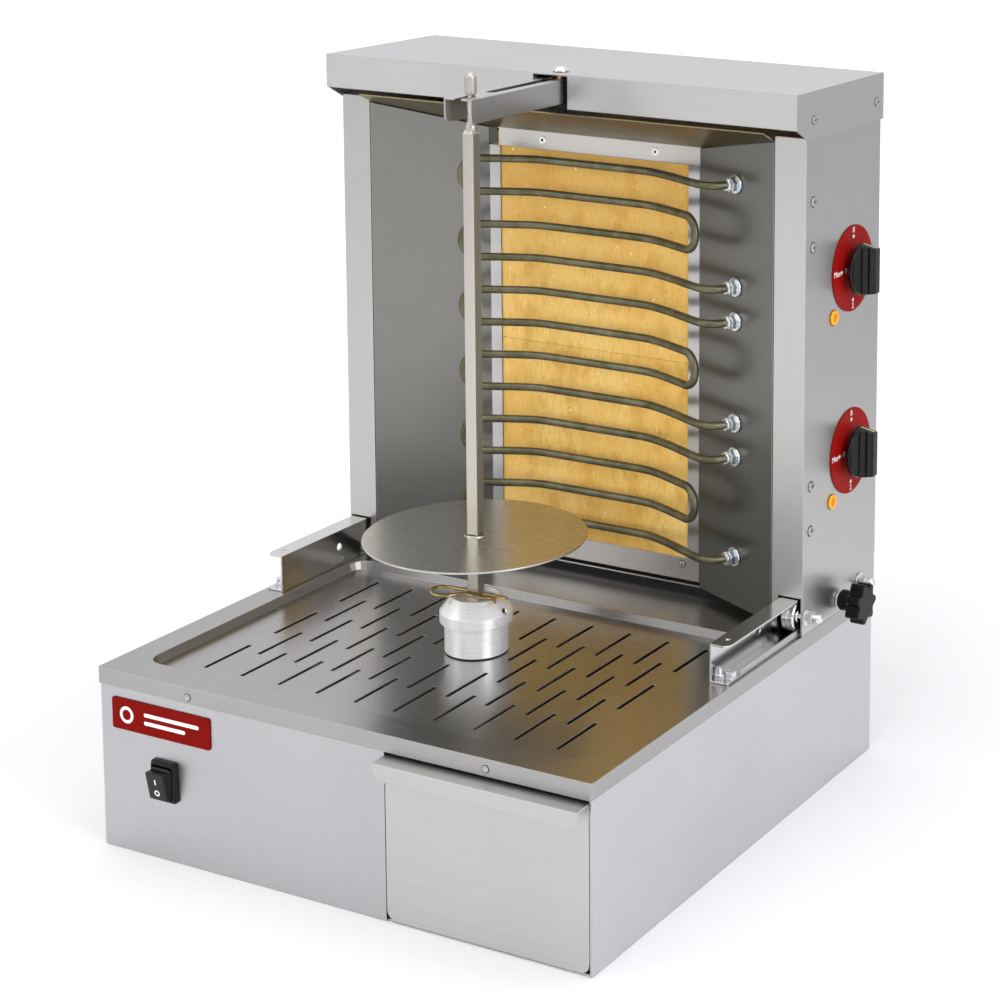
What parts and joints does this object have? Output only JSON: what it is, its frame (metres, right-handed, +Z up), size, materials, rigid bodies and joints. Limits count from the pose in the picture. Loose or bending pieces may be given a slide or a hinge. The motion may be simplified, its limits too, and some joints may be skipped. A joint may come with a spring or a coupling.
{
  "type": "vertical rotisserie broiler",
  "caption": "Countertop vertical broiler: turning spit with meat disc over a slotted drip basin, sliding heater cabinet behind it, grease drawer and regulator knobs.",
  "frame": {"origin": "on the spit's axis, in the plane of the base's underside that rests on the counter", "axes": "+Z up along the spit, -Y towards the operator (front), +X to the operator's right (knob side)"},
  "size_m": [0.5046, 0.4605, 0.6148],
  "materials": {
    "base_shell": "brushed",
    "base_floor": "brushed",
    "top_deck": "brushed",
    "badge_plate": "satin",
    "switch_body": "satin",
    "drip_chute": "brushed",
    "motor_bracket": "zinc plated",
    "gearbox": "painted",
    "motor": "painted",
    "terminal_block": "glazed",
    "mains_inlet": "satin",
    "drawer_cradle": "brushed",
    "left_rail": "brushed",
    "right_rail": "brushed",
    "shaft_bearing": "satin",
    "drawer_front": "brushed",
    "drawer_pan": "brushed",
    "switch_rocker": "satin",
    "output_shaft": "zinc plated",
    "drive_hub": "turned",
    "spit_bar": "brushed",
    "meat_disc": "polished",
    "hairpin_clip": "satin",
    "spit_arm": "brushed",
    "cabinet_left_side": "brushed",
    "cabinet_right_side": "brushed",
    "cabinet_back": "brushed",
    "cabinet_floor": "brushed",
    "top_lid": "brushed",
    "hood_sheet": "polished",
    "left_reflector": "polished",
    "right_reflector": "polished",
    "insulating_board_lower": "matte",
    "insulating_board_upper": "matte",
    "board_bottom_strip": "brushed",
    "heating_element_upper": "oxidised",
    "heating_element_middle": "oxidised",
    "heating_element_lower": "oxidised",
    "dial_plate_upper": "satin",
    "dial_plate_lower": "satin",
    "regulator_upper": "glazed",
    "regulator_lower": "glazed",
    "pilot_lamp_upper": "translucent",
    "pilot_lamp_lower": "translucent",
    "arm_guide": "satin",
    "arm_screw": "zinc plated",
    "arm_sleeve": "satin",
    "roller_axle_left_front": "zinc plated",
    "roller_axle_left_rear": "zinc plated",
    "roller_axle_right_front": "zinc plated",
    "roller_axle_right_rear": "zinc plated",
    "regulator_knob_upper": "satin",
    "regulator_spindle_upper": "satin",
    "regulator_knob_lower": "satin",
    "regulator_spindle_lower": "satin",
    "star_knob": "satin",
    "roller_left_front": "zinc plated",
    "roller_left_rear": "zinc plated",
    "roller_right_front": "zinc plated",
    "roller_right_rear": "zinc plated"
  },
  "bodies": {
    "base": {"base_shell": "base_shell", "base_floor": "base_floor", "top_deck": "top_deck", "badge_plate": "badge_plate", "switch_body": "switch_body", "drip_chute": "drip_chute", "motor_bracket": "motor_bracket", "gearbox": "gearbox", "motor": "motor", "terminal_block": "terminal_block", "mains_inlet": "mains_inlet", "drawer_cradle": "drawer_cradle", "left_rail": "left_rail", "right_rail": "right_rail", "shaft_bearing": "shaft_bearing"},
    "drawer": {"drawer_front": "drawer_front", "drawer_pan": "drawer_pan"},
    "rocker": {"switch_rocker": "switch_rocker"},
    "spit": {"output_shaft": "output_shaft", "drive_hub": "drive_hub", "spit_bar": "spit_bar", "meat_disc": "meat_disc", "hairpin_clip": "hairpin_clip"},
    "arm": {"spit_arm": "spit_arm"},
    "heater": {"cabinet_left_side": "cabinet_left_side", "cabinet_right_side": "cabinet_right_side", "cabinet_back": "cabinet_back", "cabinet_floor": "cabinet_floor", "top_lid": "top_lid", "hood_sheet": "hood_sheet", "left_reflector": "left_reflector", "right_reflector": "right_reflector", "insulating_board_lower": "insulating_board_lower", "insulating_board_upper": "insulating_board_upper", "board_bottom_strip": "board_bottom_strip", "heating_element_upper": "heating_element_upper", "heating_element_middle": "heating_element_middle", "heating_element_lower": "heating_element_lower", "dial_plate_upper": "dial_plate_upper", "dial_plate_lower": "dial_plate_lower", "regulator_upper": "regulator_upper", "regulator_lower": "regulator_lower", "pilot_lamp_upper": "pilot_lamp_upper", "pilot_lamp_lower": "pilot_lamp_lower", "arm_guide": "arm_guide", "arm_screw": "arm_screw", "arm_sleeve": "arm_sleeve", "roller_axle_left_front": "roller_axle_left_front", "roller_axle_left_rear": "roller_axle_left_rear", "roller_axle_right_front": "roller_axle_right_front", "roller_axle_right_rear": "roller_axle_right_rear"},
    "upper_knob": {"regulator_knob_upper": "regulator_knob_upper", "regulator_spindle_upper": "regulator_spindle_upper"},
    "lower_knob": {"regulator_knob_lower": "regulator_knob_lower", "regulator_spindle_lower": "regulator_spindle_lower"},
    "clamp_knob": {"star_knob": "star_knob"},
    "roller_left_front": {"roller_left_front": "roller_left_front"},
    "roller_left_rear": {"roller_left_rear": "roller_left_rear"},
    "roller_right_front": {"roller_right_front": "roller_right_front"},
    "roller_right_rear": {"roller_right_rear": "roller_right_rear"}
  },
  "joints": [
    {"name": "drawer_slide", "type": "slide", "parent": "base", "child": "drawer", "axis": [0, -1, 0], "range_m": [0, 0.26]},
    {"name": "rocker_tilt", "type": "hinge", "parent": "base", "child": "rocker", "pos_m": [-0.1644, -0.183, 0.0655], "axis": [-1, 0, 0], "range_deg": [0, 16]},
    {"name": "spit_spin", "type": "hinge", "parent": "base", "child": "spit", "pos_m": [0, 0, 0.15], "axis": [0, 0, 1], "continuous": true},
    {"name": "arm_slide", "type": "slide", "parent": "base", "child": "arm", "axis": [0, 1, 0], "range_m": [0, 0.03]},
    {"name": "heater_slide", "type": "slide", "parent": "base", "child": "heater", "axis": [0, -1, 0], "range_m": [0, 0.045]},
    {"name": "upper_knob_turn", "type": "hinge", "parent": "heater", "child": "upper_knob", "pos_m": [0.235, 0.212, 0.4414], "axis": [-1, 0, 0], "range_deg": [0, 270]},
    {"name": "lower_knob_turn", "type": "hinge", "parent": "heater", "child": "lower_knob", "pos_m": [0.235, 0.212, 0.2842], "axis": [-1, 0, 0], "range_deg": [0, 270]},
    {"name": "clamp_knob_turn", "type": "hinge", "parent": "heater", "child": "clamp_knob", "pos_m": [0.2306, 0.1925, 0.1596], "axis": [1, 0, 0], "range_deg": [0, 180]},
    {"name": "roller_left_front_spin", "type": "hinge", "parent": "heater", "child": "roller_left_front", "pos_m": [-0.2202, 0.135, 0.1634], "axis": [1, 0, 0], "range_deg": [-2, 195]},
    {"name": "roller_left_rear_spin", "type": "hinge", "parent": "heater", "child": "roller_left_rear", "pos_m": [-0.2202, 0.2313, 0.1634], "axis": [1, 0, 0], "range_deg": [-2, 195]},
    {"name": "roller_right_front_spin", "type": "hinge", "parent": "heater", "child": "roller_right_front", "pos_m": [0.2202, 0.135, 0.1634], "axis": [1, 0, 0], "range_deg": [-2, 195]},
    {"name": "roller_right_rear_spin", "type": "hinge", "parent": "heater", "child": "roller_right_rear", "pos_m": [0.2202, 0.2313, 0.1634], "axis": [1, 0, 0], "range_deg": [-2, 195]}
  ],
  "couplings": [
    {"joint": "roller_left_front_spin", "follows": "heater_slide", "rad_per_m": 73.529},
    {"joint": "roller_left_rear_spin", "follows": "heater_slide", "rad_per_m": 73.529},
    {"joint": "roller_right_front_spin", "follows": "heater_slide", "rad_per_m": 73.529},
    {"joint": "roller_right_rear_spin", "follows": "heater_slide", "rad_per_m": 73.529}
  ]
}
